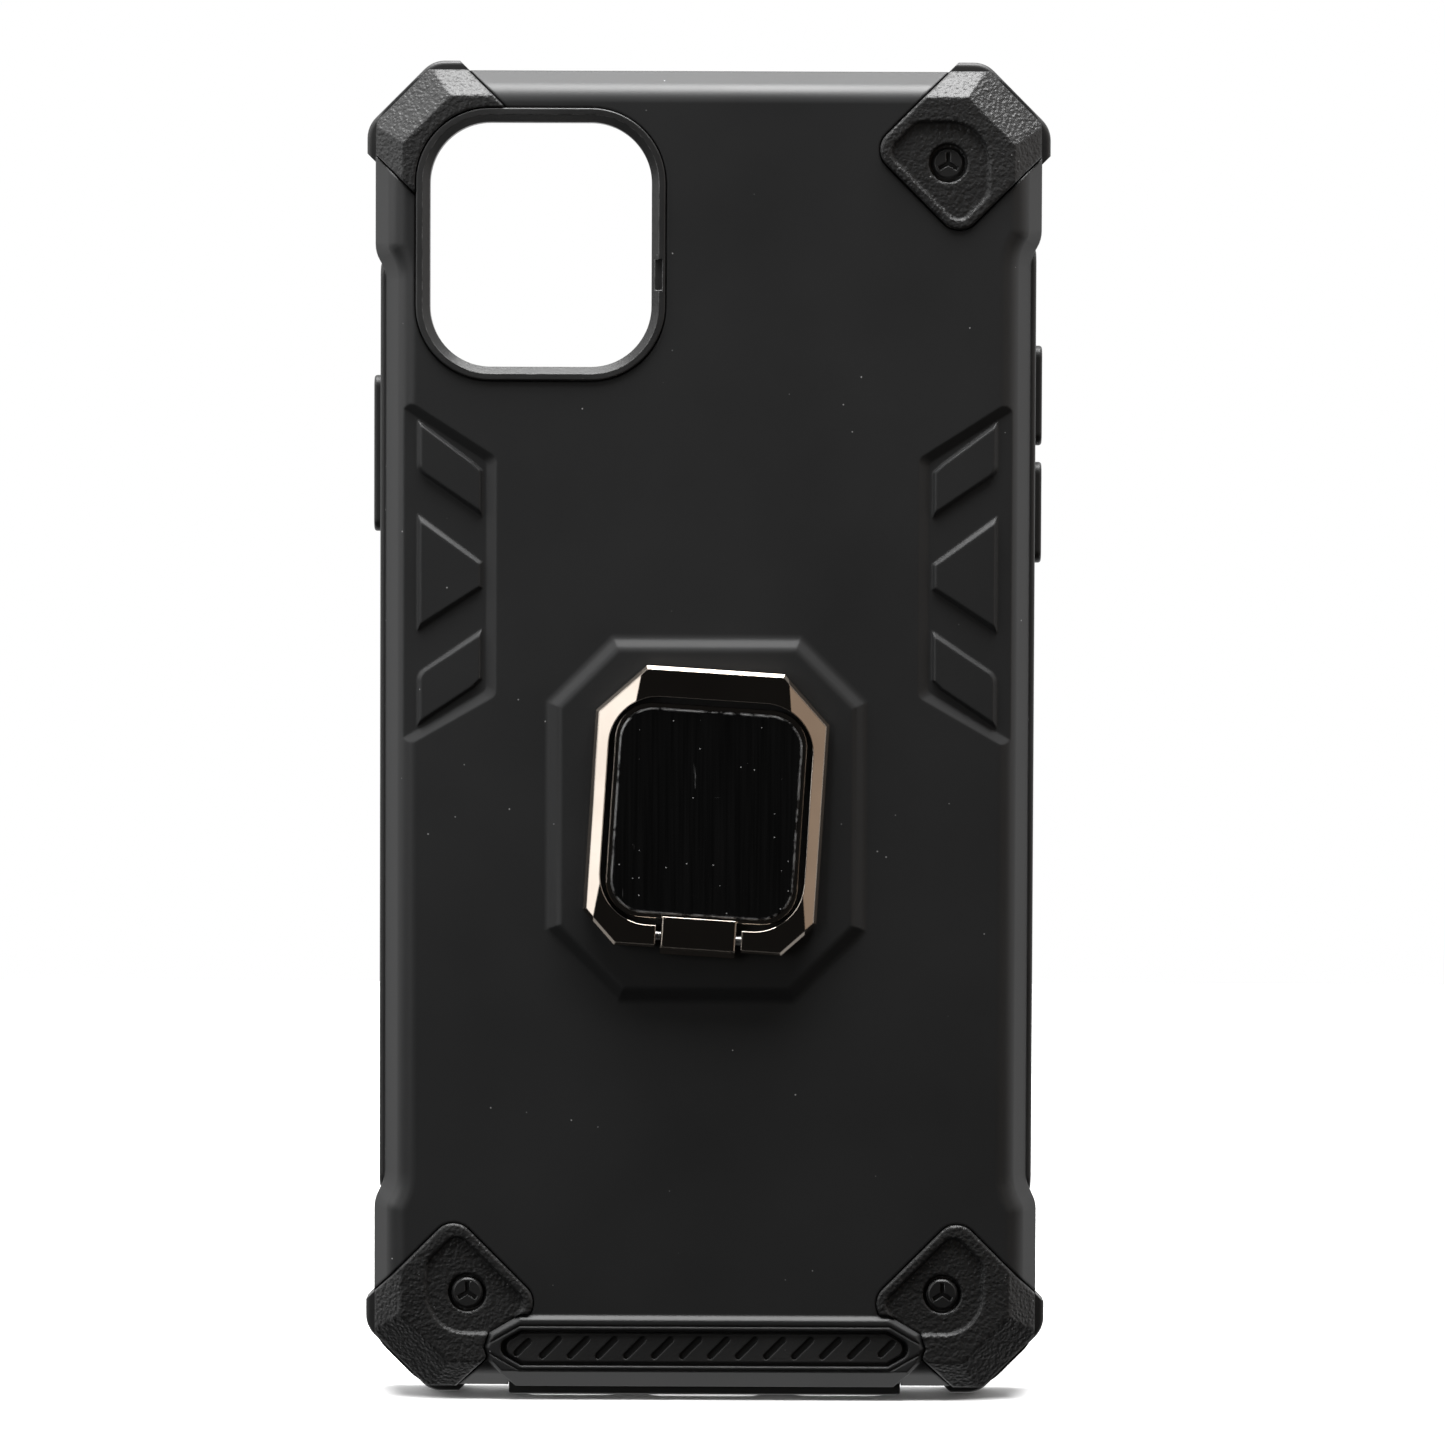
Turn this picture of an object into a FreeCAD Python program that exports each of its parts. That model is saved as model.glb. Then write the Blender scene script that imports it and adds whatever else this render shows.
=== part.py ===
import FreeCAD, Part
import math
import os
import Sketcher

V = FreeCAD.Vector
doc = FreeCAD.newDocument("phone_case")

# Driving sizes in millimetres.  Local frame: X to the right of someone looking at the back of the case,
# Z up from mid height, Y from the flat of the back (0) towards the phone's screen side.
SIZES = dict(
    back_y=-3.95, mid_z=83.15,                                          # local frame in the export frame
    phone_half_w=38.9, phone_half_h=79.0, phone_y=2.4, phone_t=8.1, phone_corner_r=10.5, phone_edge_r=3.4,
    screen_half_w=37.3, screen_half_h=77.4, screen_corner_r=9.0,
    shell_half_h=81.7, shell_hip=41.25, shell_waist=40.0, shell_corner=117.0, shell_depth=10.0,
    shell_t=1.4,
    hip_top=61.05, waist_top=58.9, left_drop=1.9, hip_bottom=58.55, waist_bottom=56.0, shell_corner_r=5.0,
    hip_r=4.0,
    bevel_w=3.4, bevel_d=2.6, bevel_soft=3.0,
    liner_depth=11.7, liner_bevel_w=2.06, liner_bevel_d=1.575, liner_corner=115.02,
    rail_x=40.65, rail_y=3.5, rail_top=60.1, rail_low=57.4, rail_soft=0.5, rim_soft=0.6, window_gap=0.2,
    rim_half_w=42.5, rim_half_h=83.15, rim_corner=117.5, rim_y=6.4, rim_r=3.6, rim_end_x=31.0,
    rim_end_z=71.6,
    guard_out=0.4, guard_y=3.4, guard_low=30.1, guard_high=51.85, guard_inner=91.9, guard_side=41.1,
    foot_low=28.8, foot_high=50.75, foot_inner=91.25,
    guard_top=81.7, guard_corner=116.4, guard_facet_w=4.4, guard_facet_d=2.9, guard_r=2.6, guard_gap=0.18,
    stud_x=29.5, stud_z=70.3, foot_stud_z=69.75, stud_r=1.95, stud_hole_r=2.4, stud_floor=1.0,
    guard_edge=0.35, dish_d=0.5, dish_soft=0.3, dish_foot=0.12,
    stud_slot_w=0.55, stud_slot_l=1.35, stud_slot_d=0.4, stud_edge=0.3,
    cam_x=-20.7, cam_z=60.1, cam_half_w=13.675, cam_half_h=15.05, cam_r=7.5, cam_rim=1.7, cam_rim_r=9.2,
    cam_out=0.35, cam_bevel=0.9, cam_notch_z=56.4, cam_notch_l=3.8, cam_notch_d=0.5, cam_gap=0.15,
    oct_z=-10.8, oct_half_w=19.65, oct_half_h=22.5, oct_top=8.05, oct_low=8.8, oct_up=0.8, oct_wall=1.5,
    oct_soft=1.6, panel_in=26.7, panel_out=38.6, panel_d=0.5, panel_top_out=41.2, panel_top_in=33.6,
    panel_low_in=4.75, panel_low_out=-2.1, panel_wall=1.2, panel_r=3.0, block_r=2.0,
    bar_z=-76.55, bar_half_l=25.9, bar_straight=22.65, bar_half_h=1.87, bar_up=0.15, bar_tip_r=1.2,
    bar_d=0.8, bar_gap=0.38, bezel_tip=27.4, bezel_shoulder=26.75, bezel_shoulder_h=1.8,
    bezel_straight=22.93, bezel_half_h=4.05, bezel_up=0.5, bezel_slope=0.6, bezel_foot=23.5,
    bezel_bevel_w=2.3, bezel_line=0.78, bezel_line_w=0.2, bezel_line_d=0.2, slot_pitch=3.48,
    slot_half_l=1.9, slot_half_w=0.42, slot_d=0.6, swivel_z=-9.95, guard_side_gap=0.12, mute_low=49.6,
    mute_high=58.0, mute_y=4.2, mute_t=4.5, port_half_w=7.0, port_y=3.7,
    port_t=5.5, speaker_in=11.0, speaker_out=22.5, speaker_y=4.2, speaker_t=4.5, lip_half_w=24.4,
    lip_down=82.9, lip_y=2.95, lip_t=6.75, lip_soft=0.5,
    button_y=6.45, button_half_t=1.6, button_r=1.5, button_gap=0.3, button_in=39.2, button_out=41.5,
    button_edge=0.35, power_low=24.7, power_high=44.1, up_low=35.65, up_high=48.05, down_low=21.05,
    down_high=33.6, turn=3.6, hub_r=4.0, hub_fit=0.05, base_y=-1.1, base_t=1.8, base_half_w=11.85,
    base_half_h=13.25, base_r=4.5, plate_half_w=11.3, plate_half_h=12.7, plate_r=4.2, plate_t=0.5,
    plate_edge=0.15, ring_half_w=14.45, ring_half_h=17.35, ring_up=0.48, ring_t=2.7, ring_cut_top=5.95,
    ring_cut_low=4.1, ring_open_w=12.6, ring_open_h=14.1, ring_open_r=6.2, ring_bevel=0.45,
    ring_slope_at=11.19, ring_slope_w=5.0, ring_slope_d=1.5,
    ring_heel=1.0, ring_gap_half=5.3, tab_half_w=4.65, tab_low=17.65, tab_facet=1.0, pin_z=-15.4,
    pin_y=-2.6,
    pin_r=0.6, pin_half_l=8.6, pin_fit=0.05, rivet_r=1.5, rivet_head_r=2.8, rivet_head_t=0.7,
    rivet_tail_r=3.0, rivet_tail_y=1.05, rivet_tail_t=0.45, well_r=8.0, well_y=0.2, washer_r=7.0,
    washer_y=0.65, washer_t=0.4, spring_r=6.2, spring_hole=3.4, spring_t=0.2, spring_rise=0.15,
    spring_y=0.25, friction_r=8.5, friction_hole=4.2, friction_t=0.24, tail_room_r=4.0, tail_room=0.35,
)


class Size:
    """A number that also carries the spreadsheet expression it came from."""

    def __init__(self, value, text):
        self.value, self.text = value, text

    def join(self, other, sign, value):
        return Size(value, "(%s %s %s)" % (self.text, sign, other.text))

    def __add__(self, other):
        other = lift(other)
        return self.join(other, "+", self.value + other.value)

    def __sub__(self, other):
        other = lift(other)
        return self.join(other, "-", self.value - other.value)

    def __mul__(self, other):
        other = lift(other)
        return self.join(other, "*", self.value * other.value)

    def __rsub__(self, other):
        return lift(other) - self

    def __neg__(self):
        return self * -1

    __radd__, __rmul__ = __add__, __mul__


def lift(number):
    return number if isinstance(number, Size) else Size(float(number), "(%.6f)" % number)


class Sheet:
    pass


sheet = doc.addObject("Spreadsheet::Sheet", "dims")
D = Sheet()
for row, (alias, number) in enumerate(SIZES.items(), 1):
    sheet.set("A%d" % row, alias)
    sheet.set("B%d" % row, "%g" % number)
    sheet.setAlias("B%d" % row, alias)
    setattr(D, alias, Size(float(number), "dims." + alias))
doc.recompute()

BEVEL_FLIP = False
PLANES = {"x": "YZ_Plane", "y": "XZ_Plane", "z": "XY_Plane"}
NODES = []


def body(label):
    made = doc.addObject("PartDesign::Body", label)
    made.Label = label
    return made


def bind(item, prop, size):
    size = lift(size)
    if prop != "AttachmentOffset.Base.z":
        setattr(item, prop, size.value)
    item.setExpression(prop, size.text)


class Rounded:
    """A rectangle with round corners, drawn straight into a sketch."""

    def __init__(self, u, v, half_w, half_h, radius):
        self.u, self.v, self.half_w, self.half_h, self.radius = [
            lift(i) for i in (u, v, half_w, half_h, radius)]

    def draw(self, made, fix, limits):
        w, h, r = self.half_w, self.half_h, self.radius
        first = made.GeometryCount
        for quarter, (su, sv) in enumerate(((1, 1), (-1, 1), (-1, -1), (1, -1))):
            centre = V((self.u + (w - r) * su).value, (self.v + (h - r) * sv).value, 0)
            angle = quarter * math.pi / 2
            circle = Part.Circle(centre, V(0, 0, 1), r.value)
            made.addGeometry(Part.ArcOfCircle(circle, angle, angle + math.pi / 2))
            made_at = made.addConstraint(Sketcher.Constraint("Radius", first + quarter, r.value))
            limits.append((made_at, r.text))
        for quarter in range(4):
            start = made.getPoint(first + quarter, 2)
            end = made.getPoint(first + (quarter + 1) % 4, 1)
            line = made.addGeometry(Part.LineSegment(start, end))
            made.addConstraint(Sketcher.Constraint("Tangent", first + quarter, 2, line, 1))
            made.addConstraint(Sketcher.Constraint("Tangent", line, 2, first + (quarter + 1) % 4, 1))
            made.addConstraint(Sketcher.Constraint("Horizontal" if quarter % 2 == 0 else "Vertical", line))
        fix("DistanceX", first, 1, self.u + w)
        fix("DistanceY", first, 2, self.v + h)
        fix("DistanceX", first + 1, 2, self.u - w)
        fix("DistanceY", first + 2, 2, self.v - h)


def sketch(owner, name, loops, axis, at):
    """A sketch square to the axis at the given station; loops are polygons or (centre, centre, radius)."""
    made = owner.newObject("Sketcher::SketchObject", name)
    role = PLANES[axis]
    base = [item for item in owner.Origin.OriginFeatures if item.Role == role][0]
    made.AttachmentSupport = (base, [""])
    made.MapMode = "FlatFace"
    station = -lift(at) if axis == "y" else lift(at)
    made.AttachmentOffset = FreeCAD.Placement(V(0, 0, station.value), FreeCAD.Rotation())
    bind(made, "AttachmentOffset.Base.z", station)
    limits = []

    def fix(kind, geo, pos, size):
        size = lift(size)
        if abs(size.value) < 1e-9:
            axis = -2 if kind == "DistanceX" else -1
            made.addConstraint(Sketcher.Constraint("PointOnObject", geo, pos, axis))
        else:
            limits.append((made.addConstraint(Sketcher.Constraint(kind, geo, pos, size.value)), size.text))

    for loop in loops:
        if not isinstance(loop, Rounded) and len(loop) == 3 and not isinstance(loop[0], tuple):
            u, v, radius = [lift(item) for item in loop]
            geo = made.addGeometry(Part.Circle(V(u.value, v.value, 0), V(0, 0, 1), radius.value))
            made_at = made.addConstraint(Sketcher.Constraint("Radius", geo, radius.value))
            limits.append((made_at, radius.text))
            fix("DistanceX", geo, 3, u)
            fix("DistanceY", geo, 3, v)
            continue
        if isinstance(loop, Rounded):
            loop.draw(made, fix, limits)
            continue
        points = [(lift(u), lift(v)) for u, v in loop]
        ends = [V(u.value, v.value, 0) for u, v in points]
        count = len(ends)
        first = made.GeometryCount
        for i in range(count):
            made.addGeometry(Part.LineSegment(ends[i], ends[(i + 1) % count]))
        for i in range(count):
            made.addConstraint(Sketcher.Constraint("Coincident", first + i, 2, first + (i + 1) % count, 1))
        for i, (u, v) in enumerate(points):
            fix("DistanceX", first + i, 1, u)
            fix("DistanceY", first + i, 1, v)
    for index, text in limits:
        made.setExpression("Constraints[%d]" % index, text)
    return made


def slab(owner, name, loops, start, end, axis="y"):
    """Adds the loops as a solid between two stations on the axis."""
    start, end = lift(start), lift(end)
    profile = sketch(owner, name + "_sketch", loops, axis, end if axis == "y" else start)
    made = owner.newObject("PartDesign::Pad", name)
    made.Profile = profile
    bind(made, "Length", end - start)
    doc.recompute()
    return made


def cut(owner, name, loops, start, end, axis="y"):
    """Removes the loops between two stations on the axis."""
    start, end = lift(start), lift(end)
    before = owner.Shape.Volume
    profile = sketch(owner, name + "_sketch", loops, axis, start if axis == "y" else end)
    made = owner.newObject("PartDesign::Pocket", name)
    made.Profile = profile
    bind(made, "Length", end - start)
    doc.recompute()
    if not 0.0 < owner.Shape.Volume < before - 1e-6:
        raise RuntimeError("%s removed nothing" % name)
    return made


def loft(owner, name, first, second, y_first, y_second, kind="PartDesign::AdditiveLoft"):
    """A straight sided loft between two loops on square stations of Y."""
    low = sketch(owner, name + "_low", [first], "y", y_first)
    high = sketch(owner, name + "_high", [second], "y", y_second)
    made = owner.newObject(kind, name)
    made.Profile = low
    made.Sections = [high]
    made.Ruled = True
    doc.recompute()
    return made


def pick(owner, test):
    """Names of the edges of the body whose sampled points all pass the test."""
    names = []
    for index, edge in enumerate(owner.Shape.Edges, 1):
        first, last = edge.FirstParameter, edge.LastParameter
        points = [edge.valueAt(first + (last - first) * t / 4.0) for t in range(5)]
        if all(test(point) for point in points):
            names.append("Edge%d" % index)
    if not names:
        raise RuntimeError("no edge found on " + owner.Label)
    return names


def not_upright(owner, names):
    """Leaves out the edges that run along Y."""
    kept = []
    for name in names:
        edge = owner.Shape.Edges[int(name[4:]) - 1]
        if abs(edge.Vertexes[0].Point.y - edge.Vertexes[-1].Point.y) < 0.9 * edge.Length:
            kept.append(name)
    return kept


def near(value, target, slack=0.02):
    return abs(value - lift(target).value) < slack


def dress(owner, kind, name, names, size, other=None, flip=False):
    """A fillet, or a chamfer when the kind is chamfer, on named edges."""
    made = None
    before = owner.Tip
    made = owner.newObject("PartDesign::" + kind, name)
    made.Base = (before, names)
    if kind == "Fillet":
        bind(made, "Radius", size)
    else:
        bind(made, "Size", size)
        if other is not None:
            made.ChamferType = "Two distances"
            bind(made, "Size2", other)
            made.FlipDirection = flip
    doc.recompute()
    if made.Shape.isNull() or not made.isValid():
        raise RuntimeError("%s failed" % name)
    return made


def round_at(owner, name, points, radius, axis="y"):
    """Rounds the edges that run along the axis through the given points."""
    spots = [(lift(u).value, lift(v).value) for u, v in points]

    def test(point):
        u, v = {"x": (point.y, point.z), "y": (point.x, point.z), "z": (point.x, point.y)}[axis]
        return any(abs(u - a) < 0.01 and abs(v - b) < 0.01 for a, b in spots)

    return dress(owner, "Fillet", name, pick(owner, test), radius)


def boolean(kind, label, base, tool):
    made = doc.addObject("Part::" + kind, label)
    made.Label = label
    made.Base = base
    made.Tool = tool
    doc.recompute()
    return made


def node(item, label):
    """Places a finished piece in the export frame and lists it for export."""
    item.Label = label
    item.Placement = FreeCAD.Placement(V(0, D.back_y.value, D.mid_z.value), FreeCAD.Rotation())
    item.setExpression("Placement.Base.y", D.back_y.text)
    item.setExpression("Placement.Base.z", D.mid_z.text)
    NODES.append(item)


def swivel_node(item, label):
    """Places a piece drawn about the swivel axis, turned as the stand was left."""
    node(item, label)
    item.Placement = FreeCAD.Placement(V(0, D.back_y.value, D.mid_z.value + D.swivel_z.value),
                                       FreeCAD.Rotation(V(0, 1, 0), D.turn.value))
    item.setExpression("Placement.Base.z", (D.mid_z + D.swivel_z).text)
    item.setExpression("Placement.Rotation.Angle", D.turn.text)


def box(u0, u1, v0, v1):
    return [(u0, v0), (u1, v0), (u1, v1), (u0, v1)]


def both_sides(half):
    """A closed outline from the points of its right half, listed from the top down."""
    return half + [(-lift(u), v) for u, v in reversed(half)]


def flip(points, sx, sz):
    return [(lift(u) * sx, lift(v) * sz) for u, v in points]


def outline(half_h, hip, waist, corner, top, low):
    """Case outline: wide at both ends, narrower between the hips; the upper left hip sits lower."""
    def side(drop):
        return [(corner - half_h, half_h), (hip, corner - hip), (hip, D.hip_top + top - drop),
                (waist, D.waist_top + top - drop), (waist, -(D.waist_bottom + low)),
                (hip, -(D.hip_bottom + low)), (hip, hip - corner), (corner - half_h, -half_h)]

    return side(lift(0.0)) + [(-lift(u), v) for u, v in reversed(side(D.left_drop))]


def rounded_box(owner, name, half_w, half_h, radius, start, end, u=0.0, v=0.0):
    u, v = lift(u), lift(v)
    corners = box(u - half_w, u + half_w, v - half_h, v + half_h)
    slab(owner, name, [corners], start, end)
    round_at(owner, name + "_round", corners, radius)
    return corners


# ---------------------------------------------------------------- solids shared by several pieces
def liner_envelope(label):
    """The space inside the shell, which is also the outside of the liner."""
    made = body(label)
    t = D.shell_t
    corners = outline(D.shell_half_h - t, D.shell_hip - t, D.shell_waist - t, D.liner_corner, 0.5, 0.5)
    slab(made, label + "_block", [corners], t, D.liner_depth)
    corner_points = [corners[i] for i in (0, 1, 6, 7, 8, 9, 14, 15)]
    round_at(made, label + "_round", corner_points, D.shell_corner_r - t)
    dress(made, "Chamfer", label + "_bevel", pick(made, lambda p: near(p.y, t)),
          D.liner_bevel_w, D.liner_bevel_d, BEVEL_FLIP)
    return made


envelope = liner_envelope("liner_envelope")

phone = body("phone_space")
phone_corners = rounded_box(phone, "phone_block", D.phone_half_w, D.phone_half_h, D.phone_corner_r,
                            D.phone_y, D.phone_y + D.phone_t)
dress(phone, "Fillet", "phone_edges", pick(phone, lambda p: near(p.y, D.phone_y)
                                           or near(p.y, D.phone_y + D.phone_t)), D.phone_edge_r)
screen = body("screen_space")
rounded_box(screen, "screen_block", D.screen_half_w, D.screen_half_h, D.screen_corner_r,
            D.phone_y + D.phone_t * 0.5, D.liner_depth + 1.0)

# ---------------------------------------------------------------- outer shell
shell = body("shell_form")
shell_corners = outline(D.shell_half_h, D.shell_hip, D.shell_waist, D.shell_corner, 0.0, 0.0)
slab(shell, "shell_block", [shell_corners], 0.0, D.shell_depth)
round_at(shell, "shell_corner_round", [shell_corners[i] for i in (0, 1, 6, 7, 8, 9, 14, 15)],
         D.shell_corner_r)
round_at(shell, "shell_hip_round", [shell_corners[i] for i in (2, 3, 4, 5, 10, 11, 12, 13)], D.hip_r)
dress(shell, "Chamfer", "shell_bevel", pick(shell, lambda p: near(p.y, 0.0)), D.bevel_w, D.bevel_d,
      BEVEL_FLIP)
dress(shell, "Fillet", "shell_soft_edge", pick(shell, lambda p: near(p.y, 0.0)), D.bevel_soft)


def octagon(half_w, half_h, top, low):
    z = D.oct_z
    return both_sides([(half_w - top, z + half_h), (half_w, z + half_h - top), (half_w, z - half_h + low),
                       (half_w - low, z - half_h)])


shrink = D.oct_wall * 0.5858
loft(shell, "plateau", octagon(D.oct_half_w, D.oct_half_h, D.oct_top, D.oct_low),
     octagon(D.oct_half_w - D.oct_wall, D.oct_half_h - D.oct_wall, D.oct_top - shrink, D.oct_low - shrink),
     0.0, -D.oct_up)


def on_plateau(point, level):
    return (near(point.y, level) and abs(point.x) < D.oct_half_w.value + 0.1
            and abs(point.z - D.oct_z.value) < D.oct_half_h.value + 0.1)


dress(shell, "Fillet", "plateau_soft_edges",
      pick(shell, lambda p: on_plateau(p, 0.0) or on_plateau(p, -D.oct_up)), D.oct_soft)


def panel_outline(grow):
    """Outline half way down the wall of a side panel, grown sideways by the given amount."""
    return [(D.panel_in - grow, D.panel_low_in - 0.58 * grow),
            (D.panel_in - grow, D.panel_top_in + 0.55 * grow),
            (D.panel_out, D.panel_top_out + 1.18 * grow), (D.panel_out, D.panel_low_out - 1.15 * grow)]


def leaving(owner, spots, level):
    """Edges that leave the given spots on a square station of Y for another station."""
    names = []
    for index, edge in enumerate(owner.Shape.Edges, 1):
        ends = [vertex.Point for vertex in edge.Vertexes]
        if len(ends) == 2 and abs(ends[0].y - ends[1].y) > 0.05 and any(
                near(end.y, level) and near(end.x, u) and near(end.z, v) for end in ends for u, v in spots):
            names.append("Edge%d" % index)
    if not names:
        raise RuntimeError("no corner edge found on " + owner.Label)
    return names


# blocks left standing in a panel, from outside top, with the number of the corner that is rounded
BLOCKS = ((((35.85, 38.55), (35.85, 32.2), (27.8, 26.5), (27.8, 32.2), (29.0, 33.3)), 1),
          (((35.85, 26.9), (35.85, 12.3), (27.8, 17.7), (27.8, 20.9)), None),
          (((35.85, 7.15), (35.85, 0.55), (28.9, 5.35), (27.8, 6.5), (27.8, 12.7)), 0))
above = 0.25
panels = {}
for sx, side in ((1, "right"), (-1, "left")):
    panel = body("panel_form_" + side)
    half = D.panel_wall * 0.5
    slope = D.panel_wall.value / D.panel_d.value
    floor = flip(panel_outline(-half), sx, 1)
    loft(panel, "panel_recess_" + side, flip(panel_outline(half + slope * above), sx, 1), floor, -above,
         D.panel_d)
    spots = []
    for row, (points, rounded) in enumerate(BLOCKS, 1):
        middle_u = sum(u for u, v in points) / len(points)
        middle_v = sum(v for u, v in points) / len(points)
        top = [(middle_u + (u - middle_u) * 0.85, middle_v + (v - middle_v) * 0.79) for u, v in points]
        loft(panel, "block_%s_%d" % (side, row), flip(top, sx, 1), flip(points, sx, 1), -above, D.panel_d,
             "PartDesign::SubtractiveLoft")
        if rounded is not None:
            spots += flip([points[rounded]], sx, 1)
    dress(panel, "Fillet", "panel_round_" + side, leaving(panel, floor[:2], D.panel_d), D.panel_r)
    dress(panel, "Fillet", "block_round_" + side, leaving(panel, spots, D.panel_d), D.block_r)
    panels[side] = panel


def bar_outline(grow=0.0):
    """Outline of the grip bar, a long bar with a point at each end, grown for the recess round it."""
    z, half_h = D.bar_z, D.bar_half_h + grow
    return both_sides([(D.bar_straight + 0.4 * grow, z + half_h), (D.bar_half_l + 2.2 * grow, z),
                       (D.bar_straight + 0.4 * grow, z - half_h)])


def bezel_outline(inset=0.0):
    """Outline of the raised bezel: blunt ends, and a foot that runs out at the bottom of the case."""
    z, shoulder = D.bar_z, D.bezel_shoulder_h
    return both_sides([(D.bezel_straight - 0.26 * inset, z + D.bezel_half_h - inset),
                       (D.bezel_shoulder - inset, z + shoulder - 0.4 * inset), (D.bezel_tip - inset, z),
                       (D.bezel_shoulder - inset, z - shoulder), (D.bezel_foot - inset, -D.shell_half_h)])


slab(shell, "bezel_block", [bezel_outline()], 0.0, D.bevel_d)
loft(shell, "bezel", bezel_outline(), bezel_outline(D.bezel_slope), 0.0, -D.bezel_up)
low_line, high_line = D.shell_half_h - D.bezel_bevel_w * 1.3, D.shell_half_h + D.bezel_bevel_w * 0.1
loft(shell, "bezel_foot_bevel", box(-60.0, 60.0, -low_line - 20.0, -low_line),
     box(-60.0, 60.0, -high_line - 20.0, -high_line), -D.bezel_up - D.bevel_d * 0.3,
     -D.bezel_up + D.bevel_d * 1.1, "PartDesign::SubtractiveLoft")
cut(shell, "bezel_line", [bar_outline(D.bezel_line + D.bezel_line_w), bar_outline(D.bezel_line)],
    -1.0, D.bezel_line_d - D.bezel_up)
recess = bar_outline(D.bar_gap)
cut(shell, "bar_recess", [recess], -1.0, D.bar_d)
round_at(shell, "bar_recess_tips", [recess[1], recess[4]], D.bar_tip_r + 0.2)
cut(shell, "swivel_hole", [(0.0, D.swivel_z, D.hub_r + D.hub_fit)], -D.oct_up - 0.5, D.shell_depth)
cut(shell, "washer_well", [(0.0, D.swivel_z, D.well_r)], D.well_y, D.shell_depth)


def guard_lines(sz):
    """The three slanting lines of a guard; the lower guards reach a little further up the case."""
    return (D.guard_low, D.guard_high, D.guard_inner) if sz > 0 else (D.foot_low, D.foot_high, D.foot_inner)


def stud_height(sz):
    return D.stud_z if sz > 0 else D.foot_stud_z


def guard_outline(sx, sz, grow=0.0, reach=0.0):
    """Corner guard seen from the back; reach pushes the outer three sides past the case for a window."""
    g = 1.414 * grow
    low, high, inner = guard_lines(sz)
    low, high, inner = low - g, high + g, inner - g
    side, top, corner = D.guard_side + reach, D.guard_top + reach, D.guard_corner + reach * 1.7
    return flip([((inner - high) * 0.5, (inner + high) * 0.5), (top - high, top), (corner - top, top),
                 (side, corner - side), (side, side + low), ((inner - low) * 0.5, (inner + low) * 0.5)],
                sx, sz)


def rim_outline(sx, sz, grow=0.0):
    half_w, half_h, corner = D.rim_half_w, D.rim_half_h, D.rim_corner
    inside = D.shell_t * 1.0 + 1.6
    drop_x, drop_z = half_h - (D.shell_half_h - inside), half_w - (D.shell_hip - inside)
    return flip([(D.rim_end_x - drop_x - grow, D.shell_half_h - inside), (D.rim_end_x - grow, half_h),
                 (corner - half_h, half_h), (half_w, corner - half_w), (half_w, D.rim_end_z - grow),
                 (D.shell_hip - inside, D.rim_end_z - drop_z - grow)], sx, sz)


CORNERS = {"top_left": (-1, 1), "top_right": (1, 1), "bottom_left": (-1, -1), "bottom_right": (1, -1)}

openings = body("shell_openings")
for name, (sx, sz) in CORNERS.items():
    window = guard_outline(sx, sz, D.guard_gap, 3.0)
    slab(openings, "guard_window_" + name, [window], -2.0, D.guard_y)
    round_at(openings, "guard_window_round_" + name, [window[0], window[5]], D.guard_r + 0.3)
    slab(openings, "rim_window_" + name, [rim_outline(sx, sz, 0.0)], D.rim_y, D.liner_depth)
for sx, side in ((1, "right"), (-1, "left")):
    start, end = (38.0, 43.0) if sx > 0 else (-43.0, -38.0)
    top = D.rail_top + D.window_gap - (D.left_drop if sx < 0 else 0.0)
    corners = box(D.rail_y - 0.1, 12.0, -(D.rail_low + D.window_gap), top)
    slab(openings, "rail_window_" + side, [corners], start, end, "x")
    round_at(openings, "rail_window_round_" + side, [corners[0], corners[3]], 2.5, "x")

bezel_kept = body("bezel_kept")
slab(bezel_kept, "bezel_kept_block", [bezel_outline()], -2.0, D.guard_y)
shell_hollow = boolean("Cut", "shell_hollow", shell, envelope)
shell_windows = boolean("Cut", "shell_windows", shell_hollow,
                        boolean("Cut", "openings_round_bezel", openings, bezel_kept))
lip_opening = body("lip_opening")
slab(lip_opening, "lip_window", [box(-D.lip_half_w - 0.1, D.lip_half_w + 0.1, D.lip_y - 0.1,
                                     D.lip_y + D.lip_t + 0.1)], -86.0, -79.6, "z")
shell_lip = boolean("Cut", "shell_lip", shell_windows, lip_opening)
shell_panels = boolean("Cut", "shell_panels", boolean("Cut", "shell_left_panel", shell_lip, panels["left"]),
                       panels["right"])

camera_hole = body("camera_hole")
rounded_box(camera_hole, "camera_hole_block", D.cam_half_w + D.cam_rim + D.cam_gap,
            D.cam_half_h + D.cam_rim + D.cam_gap, D.cam_rim_r + D.cam_gap, -3.0, D.phone_y - 0.9,
            D.cam_x, D.cam_z)
shell_camera = boolean("Cut", "shell_camera", shell_panels, camera_hole)

ports = body("port_holes")
low = -90.0
slots = [("port", -D.port_half_w, D.port_half_w, D.port_y, D.port_t),
         ("speaker_left", -D.speaker_out, -D.speaker_in, D.speaker_y, D.speaker_t),
         ("speaker_right", D.speaker_in, D.speaker_out, D.speaker_y, D.speaker_t)]
for name, u0, u1, y0, thick in slots:
    corners = box(u0, u1, y0, y0 + thick)
    slab(ports, name + "_hole", [corners], low, -77.0, "z")
    round_at(ports, name + "_round", corners, 2.0, "z")
corners = box(D.mute_y, D.mute_y + D.mute_t, D.mute_low, D.mute_high)
slab(ports, "mute_hole", [corners], 37.0, 44.0, "x")
round_at(ports, "mute_round", corners, 1.8, "x")
outer_shell = boolean("Cut", "outer_shell", shell_camera, ports)
node(outer_shell, "outer_shell")

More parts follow.
